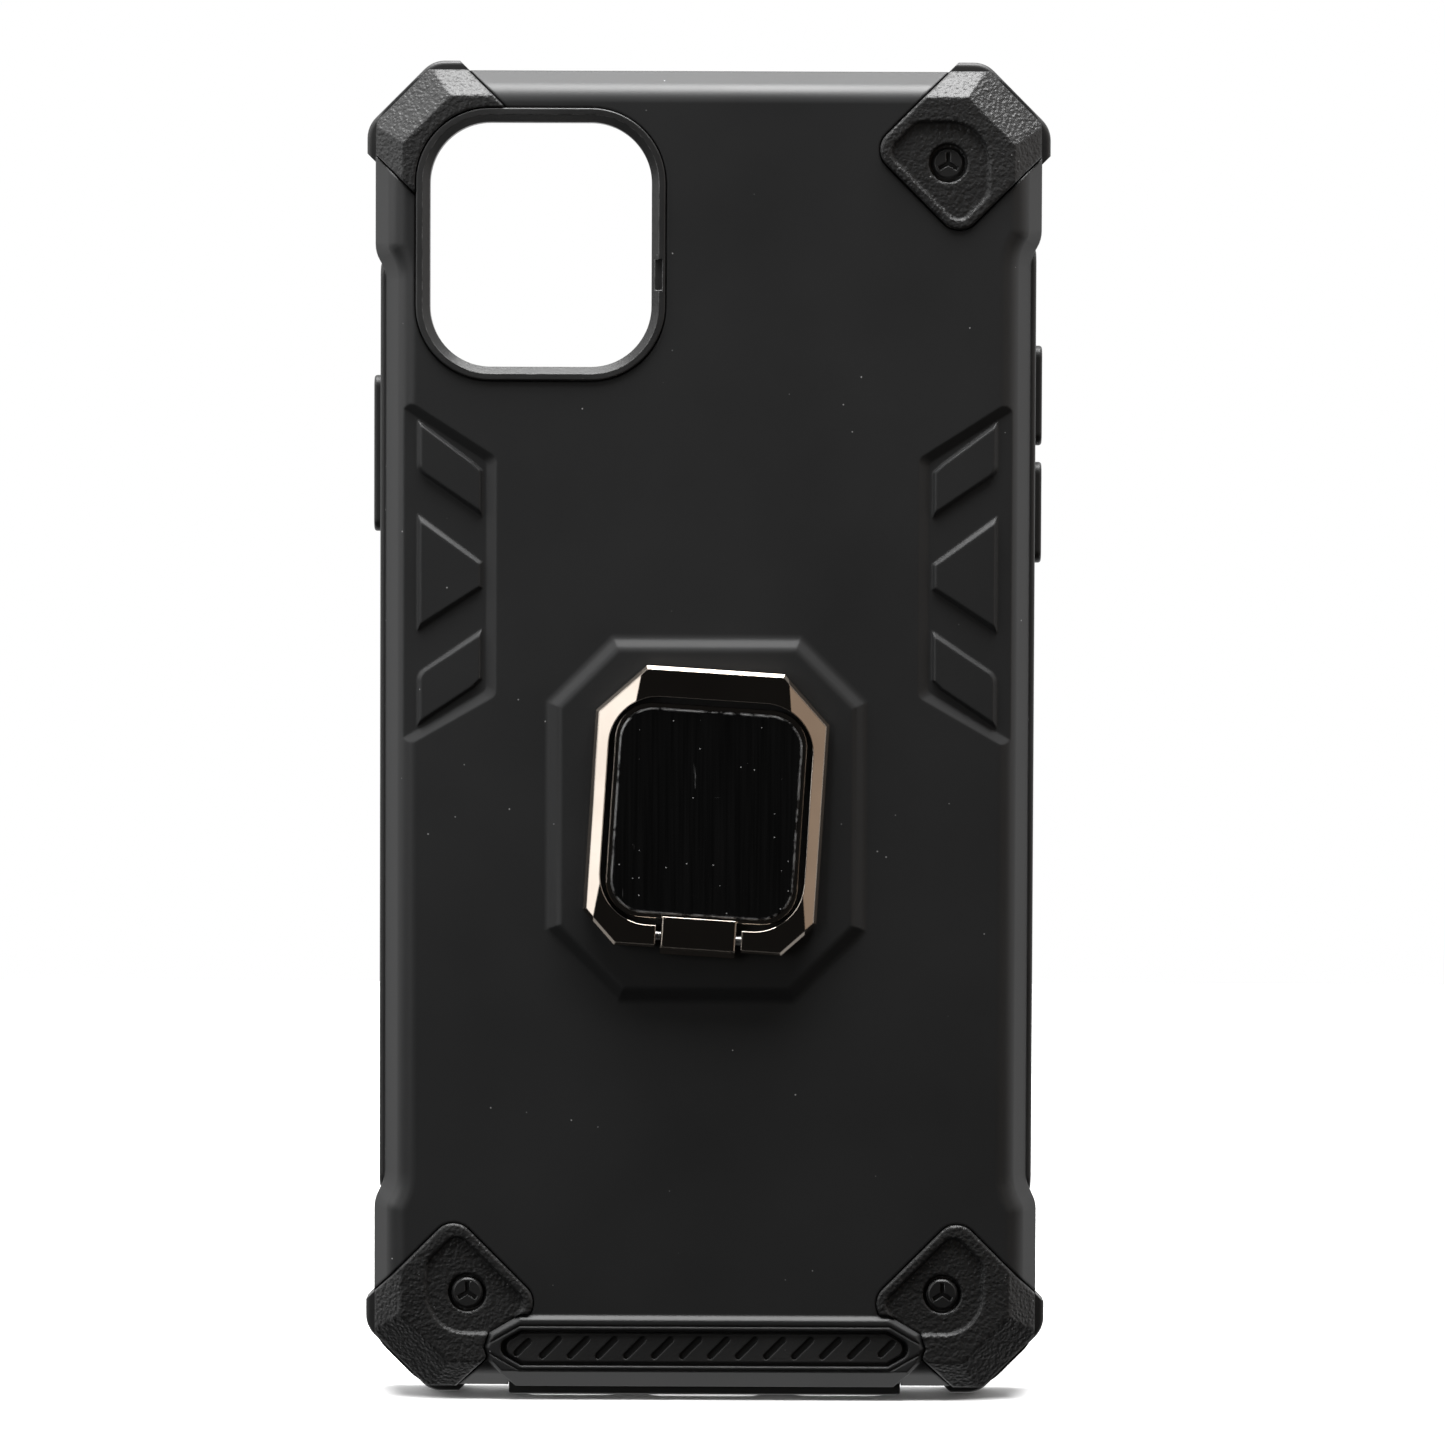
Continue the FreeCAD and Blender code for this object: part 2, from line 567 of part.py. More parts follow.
# ---------------------------------------------------------------- inner liner
liner_extras = body("liner_extras")
for name, (sx, sz) in CORNERS.items():
    corners = rim_outline(sx, sz)
    slab(liner_extras, "rim_" + name, [corners], D.rim_y, D.liner_depth)
    round_at(liner_extras, "rim_round_" + name, corners[2:4], D.rim_r)
for sx, side in ((1, "right"), (-1, "left")):
    start, end = (lift(37.5), D.rail_x) if sx > 0 else (-D.rail_x, lift(-37.5))
    corners = box(D.rail_y, D.liner_depth, -D.rail_low, D.rail_top - (D.left_drop if sx < 0 else 0.0))
    slab(liner_extras, "rail_" + side, [corners], start, end, "x")
    round_at(liner_extras, "rail_round_" + side, [corners[0], corners[3]], 2.0, "x")


def on_rim(point, level):
    x, z = abs(point.x), abs(point.z)
    return near(point.y, level) and (near(x, D.rim_half_w) or near(z, D.rim_half_h) or x + z > 117.0)


dress(liner_extras, "Fillet", "rim_soft_edges", pick(liner_extras, lambda p: on_rim(p, D.rim_y)
                                                     or on_rim(p, D.liner_depth)), D.rim_soft)
dress(liner_extras, "Fillet", "rail_soft_edges", not_upright(liner_extras, pick(
    liner_extras, lambda p: near(abs(p.x), D.rail_x) and p.y < D.liner_depth.value)), D.rail_soft)
slab(liner_extras, "port_lip", [box(-D.lip_half_w, D.lip_half_w, D.lip_y, D.lip_y + D.lip_t)],
     -D.lip_down, -79.6, "z")
dress(liner_extras, "Fillet", "port_lip_edge", pick(liner_extras, lambda p: near(p.z, -D.lip_down)),
      D.lip_soft)

liner_full = boolean("Fuse", "liner_full", envelope, liner_extras)
liner_tray = boolean("Cut", "liner_tray", boolean("Cut", "liner_cup", liner_full, phone), screen)
liner_cuts = body("liner_cuts")
slab(liner_cuts, "tail_room", [(0.0, D.swivel_z, D.tail_room_r)], 0.0, D.shell_t + D.tail_room)
rounded_box(liner_cuts, "camera_seat", D.cam_half_w + D.cam_rim, D.cam_half_h + D.cam_rim, D.cam_rim_r,
            -1.0, 6.0, D.cam_x, D.cam_z)
BUTTONS = [("side_button", -1, D.power_low, D.power_high), ("volume_up_button", 1, D.up_low, D.up_high),
           ("volume_down_button", 1, D.down_low, D.down_high)]
gap = D.button_gap
for name, sx, low, high in BUTTONS:
    start, end = (37.0, 43.0) if sx > 0 else (-43.0, -37.0)
    half = D.button_half_t + gap
    corners = box(D.button_y - half, D.button_y + half, low - gap, high + gap)
    slab(liner_cuts, name + "_slot", [corners], start, end, "x")
    round_at(liner_cuts, name + "_slot_round", corners, D.button_r + gap, "x")
liner_open = boolean("Cut", "liner_open", liner_tray, liner_cuts)
inner_liner = boolean("Cut", "inner_liner", liner_open, ports)
node(inner_liner, "inner_liner")

# ---------------------------------------------------------------- camera rim
rim = body("camera_rim")
outer_w, outer_h = D.cam_half_w + D.cam_rim, D.cam_half_h + D.cam_rim
rounded_box(rim, "rim_block", outer_w, outer_h, D.cam_rim_r, -D.cam_out, D.phone_y, D.cam_x, D.cam_z)
cut(rim, "rim_opening", [Rounded(D.cam_x, D.cam_z, D.cam_half_w, D.cam_half_h, D.cam_r)], -1.0, 4.0)
inside = D.cam_half_w.value + 0.3, D.cam_half_h.value + 0.3


def on_rim_mouth(point):
    return (near(point.y, -D.cam_out) and abs(point.x - D.cam_x.value) < inside[0]
            and abs(point.z - D.cam_z.value) < inside[1])


dress(rim, "Chamfer", "rim_bevel", pick(rim, on_rim_mouth), D.cam_bevel)
dress(rim, "Fillet", "rim_outer_edge", pick(rim, lambda p: near(p.y, -D.cam_out) and (
    abs(p.x - D.cam_x.value) > outer_w.value - 3.0 or abs(p.z - D.cam_z.value) > outer_h.value - 3.0)
    and not (abs(p.x - D.cam_x.value) < inside[0] + 0.72 and abs(p.z - D.cam_z.value) < inside[1] + 0.72)),
      0.2)
notch_x = D.cam_x + D.cam_half_w
cut(rim, "rim_notch", [box(notch_x + 0.3, notch_x + D.cam_rim - 0.35, D.cam_notch_z - D.cam_notch_l * 0.5,
                           D.cam_notch_z + D.cam_notch_l * 0.5)], -1.0, D.cam_notch_d - D.cam_out)
node(rim, "camera_rim")

# ---------------------------------------------------------------- corner guards and studs
bezel_space = body("bezel_space")
slab(bezel_space, "bezel_space_block", [bezel_outline(-D.guard_side_gap)], -2.0, D.guard_y + 0.1)


# the dish round a stud, from the stud's centre, with a rounding for each corner
DISH = ((5.0, 5.0), (5.0, -3.9), (1.3, -7.6), (-7.6, 1.3), (-3.9, 5.0))
DISH_ROUND = (4.9, 2.0, 1.6, 1.6, 2.0)


def make_guard(name, sx, sz, stud):
    made = body(name + "_form")
    corners = guard_outline(sx, sz)
    slab(made, name + "_block", [corners], -D.guard_out, D.guard_y)
    round_at(made, name + "_apex", [corners[0], corners[5]], D.guard_r)
    slope = 0.70710678
    for part, nx, nz, reach, wide, deep in (
            ("top", 0.0, 1.0, D.guard_top, D.bevel_w, D.bevel_d),
            ("side", 1.0, 0.0, D.guard_side, D.bevel_w, D.bevel_d),
            ("facet", slope, slope, D.guard_corner * slope, D.guard_facet_w, D.guard_facet_d)):
        low_line, high_line = reach - wide * 1.3, reach + wide * 0.1
        quads = []
        for line in (low_line, high_line):
            quads.append(flip([(line * nx + nz * 90.0, line * nz - nx * 90.0),
                               ((line + 20.0) * nx + nz * 90.0, (line + 20.0) * nz - nx * 90.0),
                               ((line + 20.0) * nx - nz * 90.0, (line + 20.0) * nz + nx * 90.0),
                               (line * nx - nz * 90.0, line * nz + nx * 90.0)], sx, sz))
        loft(made, name + "_" + part, quads[0], quads[1], -D.guard_out - deep * 0.3,
             -D.guard_out + deep * 1.1, "PartDesign::SubtractiveLoft")
    low, high, inner = [line.value for line in guard_lines(sz)]
    radius, level = D.guard_r.value, -D.guard_out.value
    centres = (((inner - high) / 2 + radius * 1.41421, (inner + high) / 2),
               ((inner - low) / 2, (inner + low) / 2 + radius * 1.41421))

    def on_wall(point):
        x, z = abs(point.x), abs(point.z)
        return point.y < D.guard_y.value - 0.3 and (
            near(z - x, high) or near(z - x, low) or near(x + z, inner)
            or any(near(math.hypot(x - u, z - v), radius) for u, v in centres))

    dress(made, "Fillet", name + "_edge", not_upright(made, pick(made, on_wall)), D.guard_edge)
    if not stud:
        return made
    x, z = D.stud_x, stud_height(sz)
    dish = flip([(x + u, z + v) for u, v in DISH], sx, sz)
    cut(made, name + "_dish", [dish], -2.0, D.dish_d - D.guard_out)
    for index, radius in enumerate(DISH_ROUND):
        round_at(made, "%s_dish_round_%d" % (name, index), [dish[index]], radius)

    def in_dish(point):
        return (abs(point.x) - x.value + abs(point.z) - z.value > -6.8
                and abs(point.x) < x.value + 5.05 and abs(point.z) < z.value + 5.05)

    dress(made, "Fillet", name + "_dish_lip", pick(made, lambda p: in_dish(p) and near(p.y, level)),
          D.dish_soft)
    floor = D.dish_d - D.guard_out
    dress(made, "Fillet", name + "_dish_floor", pick(made, lambda p: in_dish(p) and near(p.y, floor)),
          D.dish_foot)
    cut(made, name + "_stud_hole", [(x * sx, z * sz, D.stud_hole_r)], -2.0, D.stud_floor)
    dress(made, "Fillet", name + "_hole_edge", pick(made, lambda p: near(p.y, floor) and near(
        math.hypot(abs(p.x) - x.value, abs(p.z) - z.value), D.stud_hole_r)), 0.12)
    return made


for name, (sx, sz) in CORNERS.items():
    label = "corner_guard_" + name
    form = make_guard(label, sx, sz, name != "top_left")
    cutter = camera_hole if name == "top_left" else (bezel_space if sz < 0 else None)
    if cutter is not None:
        form = boolean("Cut", label + "_trimmed", form, cutter)
    node(boolean("Cut", label, form, envelope), label)

STUDS = {"top_right": 0.55, "bottom_left": 0.15, "bottom_right": 0.15}
for name, sunk in STUDS.items():
    sx, sz = CORNERS[name]
    stud = body("corner_stud_" + name)
    x, z = D.stud_x * sx, stud_height(sz) * sz
    face = D.dish_d - D.guard_out + sunk - 0.15
    slab(stud, "stud_block_" + name, [(x, z, D.stud_r)], face, D.stud_floor)
    dress(stud, "Chamfer", "stud_edge_" + name, pick(stud, lambda p: near(p.y, face)), D.stud_edge)
    for blade in range(3):
        turn = math.radians(90 + 120 * blade)
        along, across = (math.cos(turn), math.sin(turn)), (-math.sin(turn), math.cos(turn))
        half, reach = D.stud_slot_w * 0.5, D.stud_slot_l
        corners = [(x + reach * (along[0] * i) + half * (across[0] * j),
                    z + reach * (along[1] * i) + half * (across[1] * j))
                   for i, j in ((-0.1, -1), (1, -1), (1, 1), (-0.1, 1))]
        cut(stud, "stud_slot_%s_%d" % (name, blade), [corners], face - 0.5, face + D.stud_slot_d)
    node(stud, "corner_stud_" + name)

# ---------------------------------------------------------------- grip bar
bar = body("grip_bar")
bar_corners = bar_outline()
slab(bar, "bar_block", [bar_corners], -D.bar_up, D.bar_d)
round_at(bar, "bar_tips", [bar_corners[1], bar_corners[4]], D.bar_tip_r)
dress(bar, "Chamfer", "bar_edge", pick(bar, lambda p: near(p.y, -D.bar_up)), 0.2)
for index in range(14):
    x, reach = D.slot_pitch * (index - 6.5), D.slot_half_l - D.slot_half_w
    if index in (0, 13):
        reach = reach * 0.7
    corners = []
    for end in (1, -1):
        for step in range(5):
            turn = math.radians(45 * step - 45 + (180 if end < 0 else 0))
            corners.append((x + 0.7071 * end * reach + math.cos(turn) * D.slot_half_w,
                            D.bar_z + 0.7071 * end * reach + math.sin(turn) * D.slot_half_w))
    cut(bar, "bar_slot_%d" % index, [corners], -1.0, D.slot_d - D.bar_up)
node(bar, "grip_bar")

# ---------------------------------------------------------------- buttons
for name, sx, low, high in BUTTONS:
    button = body(name)
    start, end = (D.button_in, D.button_out) if sx > 0 else (-D.button_out, -D.button_in)
    half = D.button_half_t
    corners = box(D.button_y - half, D.button_y + half, low, high)
    slab(button, name + "_block", [corners], start, end, "x")
    round_at(button, name + "_round", corners, D.button_r, "x")
    dress(button, "Fillet", name + "_edge", pick(button, lambda p: near(abs(p.x), D.button_out)),
          D.button_edge)
    node(button, name)

# ---------------------------------------------------------------- ring stand, drawn about the swivel axis
base = body("swivel_base")
rounded_box(base, "base_plate", D.base_half_w, D.base_half_h, D.base_r, D.base_y - D.base_t, D.base_y)
slab(base, "tab_block", [box(-D.tab_half_w, D.tab_half_w, -D.tab_low, -D.plate_half_h - 0.25)],
     D.base_y - D.ring_t, D.base_y)
slab(base, "hub", [(0.0, 0.0, D.hub_r)], D.base_y - 0.5, D.well_y)
face = D.base_y - D.base_t
cut(base, "rivet_bore", [(0.0, 0.0, D.rivet_r)], face - 1.0, D.well_y + 1.0)
cut(base, "rivet_seat", [(0.0, 0.0, D.rivet_head_r)], face - 1.0, face + D.rivet_head_t)
cut(base, "pin_bore", [(D.pin_y, D.pin_z, D.pin_r)], -10.0, 10.0, "x")
front = D.base_y - D.ring_t
dress(base, "Chamfer", "tab_front", pick(base, lambda p: near(p.y, front) and near(p.z, -D.tab_low)),
      D.tab_facet)
dress(base, "Chamfer", "tab_heel", pick(base, lambda p: near(p.y, D.base_y) and near(p.z, -D.tab_low)), 0.9)
dress(base, "Fillet", "tab_sides", pick(base, lambda p: near(p.y, front) and near(abs(p.x), D.tab_half_w)),
      0.25)
swivel_node(base, "swivel_base")

plate = body("face_plate")
rounded_box(plate, "plate_block", D.plate_half_w, D.plate_half_h, D.plate_r, face - D.plate_t, face)
dress(plate, "Chamfer", "plate_edge", pick(plate, lambda p: near(p.y, face - D.plate_t)), D.plate_edge)
swivel_node(plate, "face_plate")

ring = body("ring_frame")
w, top, low = D.ring_half_w, D.ring_cut_top, D.ring_cut_low
ring_head, ring_foot = D.ring_up + D.ring_half_h, D.ring_up - D.ring_half_h
ring_corners = both_sides([(w - top, ring_head), (w, ring_head - top), (w, ring_foot + low),
                           (w - low, ring_foot)])
slab(ring, "ring_block", [ring_corners], D.base_y - D.ring_t, D.base_y)
front = D.base_y - D.ring_t
for sx, side in ((1, "right"), (-1, "left")):
    line = D.ring_slope_at
    lean_x, lean_z = math.cos(math.radians(7.5)), math.sin(math.radians(7.5))
    quads = []
    for away in (line - D.ring_slope_w * 0.2, line + D.ring_slope_w * 1.2):
        quads.append(flip([(away * lean_x + lean_z * 40.0, away * lean_z - lean_x * 40.0),
                           ((away + 20.0) * lean_x + lean_z * 40.0, (away + 20.0) * lean_z - lean_x * 40.0),
                           ((away + 20.0) * lean_x - lean_z * 40.0, (away + 20.0) * lean_z + lean_x * 40.0),
                           (away * lean_x - lean_z * 40.0, away * lean_z + lean_x * 40.0)], sx, 1))
    loft(ring, "ring_slope_" + side, quads[0], quads[1], front - D.ring_slope_d * 0.2,
         front + D.ring_slope_d * 1.2, "PartDesign::SubtractiveLoft")


def ring_rim(point):
    on_side = near(abs(point.x), w)
    on_end = near(point.z, ring_head) or near(point.z, ring_foot)
    on_top_cut = near(abs(point.x) + point.z, w + ring_head - top)
    on_low_cut = near(abs(point.x) - point.z, w - ring_foot - low)
    return point.y < D.base_y.value - 0.6 and (on_side or on_end or on_top_cut or on_low_cut)


dress(ring, "Chamfer", "ring_bevel", not_upright(ring, pick(ring, ring_rim)), D.ring_bevel)
cut(ring, "ring_opening", [Rounded(0.0, 0.0, D.ring_open_w, D.ring_open_h, D.ring_open_r)], -8.0, 2.0)
cut(ring, "ring_split", [box(-D.ring_gap_half, D.ring_gap_half, -20.0, -10.0)], -8.0, 2.0)
cut(ring, "ring_pin_bore", [(D.pin_y, D.pin_z, D.pin_r + D.pin_fit)], -(D.pin_half_l + 0.2),
    D.pin_half_l + 0.2, "x")
dress(ring, "Chamfer", "ring_heel", pick(ring, lambda p: near(p.y, D.base_y) and near(p.z, ring_foot)),
      D.ring_heel)
swivel_node(ring, "ring_frame")

pin = body("hinge_pin")
slab(pin, "pin_shank", [(D.pin_y, D.pin_z, D.pin_r)], -D.pin_half_l, D.pin_half_l, "x")
dress(pin, "Chamfer", "pin_ends", pick(pin, lambda p: near(abs(p.x), D.pin_half_l)), 0.15)
swivel_node(pin, "hinge_pin")

rivet = body("swivel_rivet")
slab(rivet, "rivet_head", [(0.0, 0.0, D.rivet_head_r)], face, face + D.rivet_head_t)
slab(rivet, "rivet_shank", [(0.0, 0.0, D.rivet_r)], face + 0.1, D.rivet_tail_y + 0.1)
slab(rivet, "rivet_tail", [(0.0, 0.0, D.rivet_tail_r)], D.rivet_tail_y, D.rivet_tail_y + D.rivet_tail_t)
dress(rivet, "Fillet", "rivet_tail_edge",
      pick(rivet, lambda p: near(p.y, D.rivet_tail_y + D.rivet_tail_t)), 0.3)
swivel_node(rivet, "swivel_rivet")

backing = body("backing_washer")
slab(backing, "backing_disc", [(0.0, 0.0, D.washer_r), (0.0, 0.0, D.rivet_r)], D.washer_y,
     D.washer_y + D.washer_t)
swivel_node(backing, "backing_washer")

spring = body("spring_washer")
profile = [(D.spring_hole, D.spring_y + D.spring_rise), (D.spring_r, D.spring_y),
           (D.spring_r, D.spring_y + D.spring_t), (D.spring_hole, D.spring_y + D.spring_rise + D.spring_t)]
spring_sketch = sketch(spring, "spring_profile", [profile], "z", 0.0)
spring_turn = spring.newObject("PartDesign::Revolution", "spring_turn")
spring_turn.Profile = spring_sketch
spring_turn.ReferenceAxis = (spring_sketch, ["V_Axis"])
spring_turn.Angle = 360.0
doc.recompute()
swivel_node(spring, "spring_washer")

friction = body("friction_washer")
slab(friction, "friction_disc", [(0.0, 0.0, D.friction_r), (0.0, 0.0, D.friction_hole)], D.base_y,
     D.base_y + D.friction_t)
swivel_node(friction, "friction_washer")

# ---------------------------------------------------------------- checks and export
doc.recompute()
for item in doc.Objects:
    if "Invalid" in item.State or "Error" in item.State:
        raise RuntimeError("%s did not compute" % item.Label)
os.makedirs("parts", exist_ok=True)
for item in NODES:
    if item.Shape.isNull() or not item.Shape.isValid() or len(item.Shape.Solids) != 1:
        raise RuntimeError("%s has %d solids" % (item.Label, len(item.Shape.Solids)))
    extent = item.Shape.BoundBox
    print("%-28s %8.1f mm3  X %6.2f %6.2f  Y %6.2f %6.2f  Z %6.2f %6.2f" % (
        item.Label, item.Shape.Volume, extent.XMin, extent.XMax, extent.YMin, extent.YMax, extent.ZMin,
        extent.ZMax))
    item.Shape.exportStep("parts/%s.step" % item.Label)
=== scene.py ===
import math

import bpy
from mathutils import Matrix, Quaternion, Vector

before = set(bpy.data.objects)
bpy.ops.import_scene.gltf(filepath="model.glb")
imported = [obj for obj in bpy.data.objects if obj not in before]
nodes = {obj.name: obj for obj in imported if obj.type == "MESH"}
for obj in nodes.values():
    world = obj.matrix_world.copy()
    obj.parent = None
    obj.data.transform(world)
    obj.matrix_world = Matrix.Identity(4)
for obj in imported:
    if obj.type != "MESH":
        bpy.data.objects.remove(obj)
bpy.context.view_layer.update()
scene = bpy.context.scene
scene.view_settings.view_transform = "Standard"

# ------------------------------------------------------------------ camera
BACK_Y = -0.00395
DISTANCE = 0.70
FRAME_WIDTH = 0.1787
PITCH = math.radians(2.3)
ROLL = math.radians(0.22)
aim = Vector((0.00194, BACK_Y, 0.08436))
camera_data = bpy.data.cameras.new("camera")
camera_data.sensor_width = 36.0
camera_data.lens = 36.0 * DISTANCE / FRAME_WIDTH
camera_data.clip_end = 20.0
camera = bpy.data.objects.new("camera", camera_data)
camera.location = aim + Vector((0.0, -math.cos(PITCH), math.sin(PITCH))) * DISTANCE
turn = (aim - camera.location).to_track_quat("-Z", "Y") @ Quaternion((0.0, 0.0, 1.0), ROLL)
camera.rotation_euler = turn.to_euler()
scene.collection.objects.link(camera)
scene.camera = camera


# ------------------------------------------------------------------ node helpers
class Tree:
    """A material's node tree with short calls for the few nodes used here."""

    def __init__(self, name):
        self.material = bpy.data.materials.new(name)
        self.material.use_nodes = True
        self.tree = self.material.node_tree
        self.shader = self.tree.nodes["Principled BSDF"]
        coords = self.tree.nodes.new("ShaderNodeTexCoord")
        self.place = coords.outputs["Object"]

    def link(self, source, socket):
        self.tree.links.new(source, socket)

    def put(self, socket, value):
        if hasattr(value, "default_value") or hasattr(value, "is_output"):
            self.link(value, socket)
        else:
            socket.default_value = value

    def scaled(self, scale, turn=(0.0, 0.0, 0.0)):
        node = self.tree.nodes.new("ShaderNodeMapping")
        self.link(self.place, node.inputs["Vector"])
        node.inputs["Scale"].default_value = scale
        node.inputs["Rotation"].default_value = turn
        return node.outputs["Vector"]

    def noise(self, scale, detail=2.0, vector=None):
        node = self.tree.nodes.new("ShaderNodeTexNoise")
        self.link(vector or self.place, node.inputs["Vector"])
        node.inputs["Scale"].default_value = scale
        node.inputs["Detail"].default_value = detail
        return node.outputs["Fac"]

    def cells(self, scale, feature="F1", output="Distance"):
        node = self.tree.nodes.new("ShaderNodeTexVoronoi")
        node.feature = feature
        self.link(self.place, node.inputs["Vector"])
        node.inputs["Scale"].default_value = scale
        return node.outputs[output]

    def remap(self, value, low, high, to_low=0.0, to_high=1.0):
        node = self.tree.nodes.new("ShaderNodeMapRange")
        self.link(value, node.inputs["Value"])
        for name, number in (("From Min", low), ("From Max", high), ("To Min", to_low), ("To Max", to_high)):
            node.inputs[name].default_value = number
        return node.outputs["Result"]

    def math(self, kind, a, b=0.0):
        node = self.tree.nodes.new("ShaderNodeMath")
        node.operation = kind
        self.put(node.inputs[0], a)
        self.put(node.inputs[1], b)
        return node.outputs[0]

    def mix(self, factor, a, b):
        node = self.tree.nodes.new("ShaderNodeMix")
        node.data_type = "RGBA"
        self.put(node.inputs["Factor"], factor)
        self.put(node.inputs["A"], a)
        self.put(node.inputs["B"], b)
        return node.outputs["Result"]

    def bump(self, height, strength, distance, below=None):
        node = self.tree.nodes.new("ShaderNodeBump")
        self.link(height, node.inputs["Height"])
        node.inputs["Strength"].default_value = strength
        node.inputs["Distance"].default_value = distance
        if below is not None:
            self.link(below, node.inputs["Normal"])
        return node.outputs["Normal"]

    def soft_edges(self, radius):
        node = self.tree.nodes.new("ShaderNodeBevel")
        node.samples = 6
        node.inputs["Radius"].default_value = radius
        return node.outputs["Normal"]

    def finish(self, colour, rough, normal=None, metallic=0.0, specular=0.5):
        self.put(self.shader.inputs["Base Color"], colour)
        self.put(self.shader.inputs["Roughness"], rough)
        self.put(self.shader.inputs["Metallic"], metallic)
        self.shader.inputs["Specular IOR Level"].default_value = specular
        if normal is not None:
            self.link(normal, self.shader.inputs["Normal"])
        return self.material


CLOUD = (0.3, 0.7)          # the part of a noise's spread that mixes two shades
DUST_AND_EDGE_HIGHLIGHT = 0.35                 # shade of dust on rubber, and of the painted highlight along rubbed edges
SHELL_SOFT = 0.0004         # soft edge of each material, in metres
RUBBER_SOFT = 0.0002
GUARD_SOFT = 0.0005
METAL_SOFT = 0.00022
INLAY_SOFT = 0.00012
SMALL_SOFT = 0.00015


def grey(level, warm=0.0):
    return (level * (1.0 + warm), level, level * (1.0 - warm), 1.0)


def specks(tree, scale, keep, size):
    """Sparse bright dust: a few cells of a fine pattern, each a small dot."""
    dot = tree.remap(tree.cells(scale), size, size * 0.5)
    colour = tree.cells(scale, output="Color")
    split = tree.tree.nodes.new("ShaderNodeSeparateColor")
    tree.link(colour, split.inputs["Color"])
    chosen = tree.math("LESS_THAN", split.outputs[0], keep)
    return tree.math("MULTIPLY", dot, chosen)


EDGE_STARTS, EDGE_FULL = 0.985, 0.94        # cosine between the softened and the true normal


def edge_wear_and_highlight(tree, radius, low, high):
    """One along sharp edges and zero on flat faces, broken up by noise; it lightens edges as wear together
    with a painted edge highlight.
    """
    shape = tree.tree.nodes.new("ShaderNodeNewGeometry")
    dot = tree.tree.nodes.new("ShaderNodeVectorMath")
    dot.operation = "DOT_PRODUCT"
    tree.link(tree.soft_edges(radius), dot.inputs[0])
    tree.link(shape.outputs["Normal"], dot.inputs[1])
    edge = tree.remap(dot.outputs["Value"], EDGE_STARTS, EDGE_FULL)
    return tree.math("MULTIPLY", edge, tree.remap(tree.noise(900.0, 4.0), low, high))


def shell_material():
    """Soft-touch black plastic: cloudy, finely grained, lightly dusted."""
    t = Tree("soft_touch_shell")
    fine = t.noise(9000.0, 1.0)
    cloud = t.noise(45.0, 4.0)
    dust = specks(t, 900.0, 0.05, 0.10)
    base = t.mix(t.remap(cloud, *CLOUD), grey(0.0150, -0.02), grey(0.0180, -0.02))
    colour = t.mix(dust, base, grey(0.40))
    rough = t.remap(cloud, *CLOUD, 0.42, 0.47)
    normal = t.bump(fine, 0.12, 0.00002, t.soft_edges(SHELL_SOFT))
    return t.finish(colour, rough, normal)


def rubber_material(name, level, rough_low, rough_high, grain, depth, soft=RUBBER_SOFT, wear=0.0):
    """Pebbled rubber or plastic: a dark shade, grain of one size, dust, and, if wear is given, lighter
    rubbed edges that are partly wear and partly a painted edge highlight.
    """
    t = Tree(name)
    cloud = t.noise(90.0, 3.0)
    pebble = t.cells(grain, "SMOOTH_F1")
    fine = t.noise(grain * 1.7, 3.0)
    marks_and_edge_highlight = specks(t, 1100.0, 0.07, 0.10)
    # wear sets how strongly the rubbed edges are lightened: partly wear, partly a painted edge highlight
    if wear:
        marks_and_edge_highlight = t.math("MAXIMUM", marks_and_edge_highlight, t.math("MULTIPLY", edge_wear_and_highlight(t, 0.00012, 0.42, 0.62), wear))
    height = t.math("ADD", t.math("MULTIPLY", pebble, -0.8), t.math("MULTIPLY", fine, 0.5))
    base = t.mix(t.remap(cloud, *CLOUD), grey(level * 0.85), grey(level * 1.15))
    # one light grey for the dust specks and for the painted edge highlight
    colour = t.mix(marks_and_edge_highlight, base, grey(DUST_AND_EDGE_HIGHLIGHT))
    rough = t.remap(cloud, *CLOUD, rough_low, rough_high)
    normal = t.bump(height, 0.6, depth, t.soft_edges(soft))
    return t.finish(colour, rough, normal)


def metal_material():
    """Polished black nickel with faint waves and a few dull spots."""
    t = Tree("black_nickel")
    cloud = t.noise(120.0, 3.0)
    wear = t.noise(1400.0, 3.0)
    colour = t.mix(t.remap(cloud, 0.35, 0.65), (0.40, 0.355, 0.31, 1.0), (0.36, 0.315, 0.275, 1.0))
    rough = t.remap(wear, 0.55, 0.80, 0.04, 0.11)
    normal = t.bump(t.noise(220.0), 0.03, 0.00006, t.soft_edges(METAL_SOFT))
    return t.finish(colour, rough, normal, metallic=1.0)


